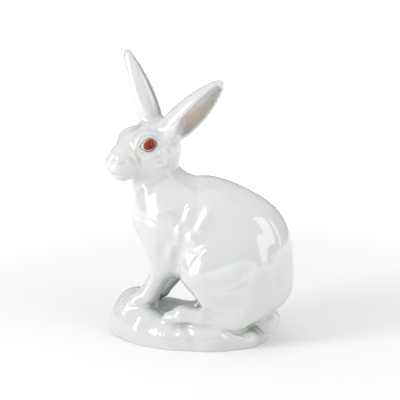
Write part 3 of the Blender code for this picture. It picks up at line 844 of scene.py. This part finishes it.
paintedEye = {
    "iris": (0.36, 0.050, 0.018, 1),
    "irisDeep": (0.16, 0.014, 0.006, 1),
    "cream": (0.70, 0.67, 0.60, 1),
    "line": (0.10, 0.085, 0.075, 1),
    "rim": (0.64, 0.50, 0.46, 1),
    "irisPlace": (-0.7, 0.2),  # along and across the opening
    "irisSize": (7.4, 6.1),
    # painted highlight on the iris: colour, place, size and share
    "glint": (0.62, 0.20, 0.10, 1),
    "glintPlace": (-3.4, 0.4),
    "glintSize": (1.1, 2.6),
    "glintShare": 0.8,
    "rimShare": 0.45,
    "lineShare": 0.75,
    "lessCoat": 0.75,  # how much duller the paint is than the glaze
    "lessSpecular": 0.4,
}

# Painted warm touches on the face: place ahead, beside and above the head's own place, size, share.
blushes = (
    ((37.5, 7.5, -1.5), (3.4, 3.2, 4.4), 0.5),
    ((41.0, 3.0, -15.5), (4.2, 5.4, 3.0), 0.6),
)


# Where a shaded point lies in the head's own directions, in the modeller's unit.
def headSockets(shader, place):
    unit = hare["unit"]
    x, y, z = hare["headPlace"]
    origin = ((x - hare["moundAhead"]) * unit, y * unit, z * unit)
    offset = shader.vector("SUBTRACT", place, origin)
    return [shader.vector("DOT_PRODUCT", offset, tuple(axis / unit)) for axis in headAxes()]


# Squared share of the way from the middle of a painted spot to its edge.
def spotReach(shader, along, across, name):
    squares = []
    for value, middle, size in zip((along, across), paintedEye[name + "Place"], paintedEye[name + "Size"]):
        gap = shader.math("DIVIDE", shader.math("SUBTRACT", value, middle), size)
        squares.append(shader.math("MULTIPLY", gap, gap))
    return shader.math("ADD", *squares)


# Masks of the painted eye: opening, iris, its dark middle, lid line, flushed rim and a painted highlight on
# the iris.
def eyeMasks(shader, ahead, left, rise):
    slant = math.radians(eye["slant"])
    dx = shader.math("SUBTRACT", ahead, eye["place"][0])
    dz = shader.math("SUBTRACT", rise, eye["place"][1])
    along = shader.math(
        "ADD",
        shader.math("MULTIPLY", dx, math.cos(slant)),
        shader.math("MULTIPLY", dz, math.sin(slant)),
    )
    across = shader.math(
        "SUBTRACT",
        shader.math("MULTIPLY", dz, math.cos(slant)),
        shader.math("MULTIPLY", dx, math.sin(slant)),
    )
    far = shader.math("DIVIDE", along, eye["halfLength"])
    narrow = shader.math("MULTIPLY", shader.math("MULTIPLY", far, far), -eye["pinch"])
    narrow = shader.math("MAXIMUM", shader.math("ADD", narrow, 1.0), eye["leastPinch"])
    tall = shader.math("DIVIDE", across, shader.math("MULTIPLY", narrow, eye["halfHeight"]))
    share = shader.math("SQRT", shader.math(
        "ADD", shader.math("MULTIPLY", far, far), shader.math("MULTIPLY", tall, tall)
    ))
    ring = shader.math("SQRT", spotReach(shader, along, across, "iris"))
    spot = spotReach(shader, along, across, "glint")
    glint = shader.math("SUBTRACT", 1.0, shader.step(0.3, 1.0, spot))
    beside = shader.step(11.0, 14.0, shader.math("ABSOLUTE", left))
    inEye = shader.math("SUBTRACT", 1.0, shader.step(0.90, 0.99, share))
    iris = shader.math("SUBTRACT", 1.0, shader.step(0.92, 1.02, ring))
    deep = shader.math("SUBTRACT", 1.0, shader.step(0.25, 0.95, ring))
    inner = shader.step(0.90, 0.97, share)
    outer = shader.math("SUBTRACT", 1.0, shader.step(1.0, 1.07, share))
    line = shader.math("MULTIPLY", inner, outer)
    flush = shader.math("SUBTRACT", 1.0, shader.step(1.05, 1.3, share))
    return [shader.math("MULTIPLY", mask, beside) for mask in (inEye, iris, deep, line, flush, glint)]


# Soft patch around a point of the head, the same on both sides.
def headPatch(shader, sockets, centre, radii, left):
    total = None
    for value, middle, radius in zip((sockets[0], left, sockets[2]), centre, radii):
        gap = shader.math("DIVIDE", shader.math("SUBTRACT", value, middle), radius)
        square = shader.math("MULTIPLY", gap, gap)
        total = square if total is None else shader.math("ADD", total, square)
    return shader.math("SUBTRACT", 1.0, shader.step(0.35, 1.0, total))


# White body under a clear coat, with pooled glaze and painted shade in folds and gaps, paint, a painted
# highlight in the eye and a bare foot ring.
def porcelain():
    shader = Shader("glazedPorcelain")
    place = shader.add("ShaderNodeTexCoord").outputs["Object"]
    sockets = headSockets(shader, place)
    left = shader.math("ABSOLUTE", sockets[1])
    sunk = shader.mark("sunk")
    clouds = shader.step(0.45, 0.75, shader.noise(place, glaze["cloudScale"]))
    colour = shader.mix(shader.math("MULTIPLY", clouds, glaze["cloudShare"]), glaze["white"], glaze["warm"])
    inner = shader.mark("innerEarTintAndShade")
    # painted shade: sunk places darken towards the pooled glaze colour, partly real glaze tint and partly
    # shade
    pooledGlazeAndShade = shader.step(0.12, 0.95, sunk)
    outsideEar = shader.math("SUBTRACT", 1.0, shader.math("MULTIPLY", inner, 0.8))
    pooledGlazeAndShade = shader.math("MULTIPLY", pooledGlazeAndShade, outsideEar)
    # painted shade in the gaps under the body
    shaded = shader.step(0.45, 1.0, shader.mark("deep"))
    for mask, name in (
        (pooledGlazeAndShade, "pooledGlazeAndShade"), (shaded, "deep"), (inner, "innerEarTintAndShade"), (shader.mark("earRoot"), "earRoot")
    ):
        share = shader.math("MULTIPLY", mask, glaze[name + "Share"])
        colour = shader.mix(share, colour, glaze[name])
    for centre, radii, share in blushes:
        patch = headPatch(shader, sockets, centre, radii, left)
        colour = shader.mix(shader.math("MULTIPLY", patch, share), colour, glaze["blush"])
    inEye, iris, deep, line, flush, glint = eyeMasks(shader, *sockets)
    colour = shader.mix(shader.math("MULTIPLY", flush, paintedEye["rimShare"]), colour, paintedEye["rim"])
    colour = shader.mix(inEye, colour, paintedEye["cream"])
    red = shader.mix(deep, paintedEye["iris"], paintedEye["irisDeep"])
    # painted highlight on the iris
    red = shader.mix(shader.math("MULTIPLY", glint, paintedEye["glintShare"]), red, paintedEye["glint"])
    colour = shader.mix(shader.math("MULTIPLY", iris, inEye), colour, red)
    colour = shader.mix(shader.math("MULTIPLY", line, paintedEye["lineShare"]), colour, paintedEye["line"])
    height = shader.add("ShaderNodeSeparateXYZ")
    shader.feed(height.inputs[0], place)
    bare = shader.math("SUBTRACT", 1.0, shader.step(0.0001, 0.0004, height.outputs["Z"]))
    colour = shader.mix(bare, colour, glaze["bare"])
    lessCoat = shader.math("MULTIPLY", inEye, paintedEye["lessCoat"])
    lessSpecular = shader.math("MULTIPLY", inEye, paintedEye["lessSpecular"])
    rough = shader.math("MULTIPLY", bare, glaze["bareRoughness"])
    bump = shader.add("ShaderNodeBump")
    waves = shader.math("ADD", *[
        shader.math("MULTIPLY", shader.noise(place, scale), weight) for scale, weight in glaze["waves"]
    ])
    shader.feed(bump.inputs["Height"], waves)
    shader.feed(bump.inputs["Strength"], glaze["waveStrength"])
    shader.feed(bump.inputs["Distance"], glaze["waveHeight"])
    finish = {
        "Base Color": colour,
        "Roughness": shader.math("ADD", rough, glaze["roughness"]),
        "IOR": glaze["ior"],
        "Specular IOR Level": shader.math("SUBTRACT", glaze["specular"], lessSpecular),
        "Coat Weight": shader.math("SUBTRACT", 1.0, lessCoat),
        "Coat Roughness": glaze["coatRoughness"],
        "Coat IOR": glaze["coatIOR"],
        "Subsurface Weight": glaze["depth"],
        "Subsurface Radius": [glaze["depthReach"]] * 3,
        "Subsurface Scale": 1.0,
        "Normal": bump.outputs[0],
    }
    for socket, value in finish.items():
        shader.feed(shader.surface.inputs[socket], value)
    return shader.material


piece = castHare()
bpy.context.scene.collection.objects.link(piece)
piece.data.materials.append(porcelain())
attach(piece, "root")
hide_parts("porcelain_hare")
print("hare cast:", len(piece.data.polygons), "faces")

# The table, the light and the view.
studio = {
    "tableSize": 6.0,
    "tableColours": ((0.94, 0.94, 0.94, 1), (0.90, 0.90, 0.90, 1)),
    "tableRoughness": 0.75,
    "azimuth": 15,
    "elevation": 15,
    "distance": 1.7,
    "aim": (0.0107, 0.1441),  # to the right of the mound's middle, and up
    "spread": 0.4124,  # metres across the picture at the aim
    "horizon": 0.26,  # brightness of the surroundings low down, and overhead
    "zenith": 1.05,
    "tableGlow": (0.2, 1.0, 0.5),  # painted light: the table glows from this far out to that, this much
    "film": 36,  # width of the film in millimetres
}

# Soft boxes that face the hare: place and size in metres, and power in watts.
windows = {
    "leftWindow": {"place": (-1.15, -0.96, 0.66), "size": (0.5, 1.5), "power": 13.5},
    "rightWindowOne": {"place": (1.28, -0.52, 0.72), "size": (0.56, 1.35), "power": 4.4},
    "rightWindowTwo": {"place": (1.42, 0.1, 0.62), "size": (0.16, 1.1), "power": 1.2},
}
windowAim = (0, 0, 0.13)


def table():
    mesh = bpy.data.meshes.new("table")
    half = studio["tableSize"] / 2
    corners = [(-half, -half, 0), (half, -half, 0), (half, half, 0), (-half, half, 0)]
    mesh.from_pydata(corners, [], [(0, 1, 2, 3)])
    shader = Shader("paleTable")
    place = shader.add("ShaderNodeTexCoord").outputs["Object"]
    mottle = shader.math("MULTIPLY", shader.noise(place, 3.0), 0.04)
    shader.feed(shader.surface.inputs["Base Color"], shader.mix(mottle, *studio["tableColours"]))
    shader.feed(shader.surface.inputs["Roughness"], studio["tableRoughness"])
    # painted light: the table glows more the farther it lies from the hare
    near, far, most = studio["tableGlow"]
    glow = shader.step(near, far, shader.vector("LENGTH", place, (0, 0, 0)))
    shader.feed(shader.surface.inputs["Emission Color"], (1, 1, 1, 1))
    shader.feed(shader.surface.inputs["Emission Strength"], shader.math("MULTIPLY", glow, most))
    mesh.materials.append(shader.material)
    return bpy.data.objects.new("table", mesh)


floor = table()
bpy.context.scene.collection.objects.link(floor)


def softBox(name, window):
    light = bpy.data.lights.new(name, "AREA")
    light.shape = "RECTANGLE"
    light.size, light.size_y = window["size"]
    light.energy = window["power"]
    item = bpy.data.objects.new(name, light)
    item.location = window["place"]
    view = Vector(windowAim) - item.location
    item.rotation_euler = view.to_track_quat("-Z", "Y").to_euler()
    bpy.context.scene.collection.objects.link(item)


for name, window in windows.items():
    softBox(name, window)


# Even white surroundings, dim at the horizon and bright overhead.
def surroundings():
    world = bpy.data.worlds.new("studio")
    world.use_nodes = True
    bpy.context.scene.world = world
    nodes, links = world.node_tree.nodes, world.node_tree.links
    direction = nodes.new("ShaderNodeTexCoord")
    height = nodes.new("ShaderNodeSeparateXYZ")
    rise = nodes.new("ShaderNodeMapRange")
    links.new(direction.outputs["Generated"], height.inputs[0])
    links.new(height.outputs["Z"], rise.inputs["Value"])
    rise.inputs["To Min"].default_value = studio["horizon"]
    rise.inputs["To Max"].default_value = studio["zenith"]
    links.new(rise.outputs[0], nodes["Background"].inputs["Strength"])
    nodes["Background"].inputs["Color"].default_value = (1.0, 1.0, 1.0, 1)


surroundings()


# The photograph's own view of the hare.
def camera():
    turn, rise = math.radians(studio["azimuth"]), math.radians(studio["elevation"])
    right = Vector((math.cos(turn), math.sin(turn), 0))
    back = Vector((math.sin(turn) * math.cos(rise), -math.cos(turn) * math.cos(rise), math.sin(rise)))
    middle = Vector((-hare["moundAhead"] * hare["unit"], 0, studio["aim"][1])) + right * studio["aim"][0]
    view = bpy.data.cameras.new("view")
    view.sensor_width = studio["film"]
    view.lens = studio["film"] * studio["distance"] / studio["spread"]
    item = bpy.data.objects.new("view", view)
    item.location = middle + back * studio["distance"]
    item.rotation_euler = (-back).to_track_quat("-Z", "Y").to_euler()
    bpy.context.scene.collection.objects.link(item)
    bpy.context.scene.camera = item


camera()
bpy.context.scene.view_settings.view_transform = "Standard"
print("studio ready")
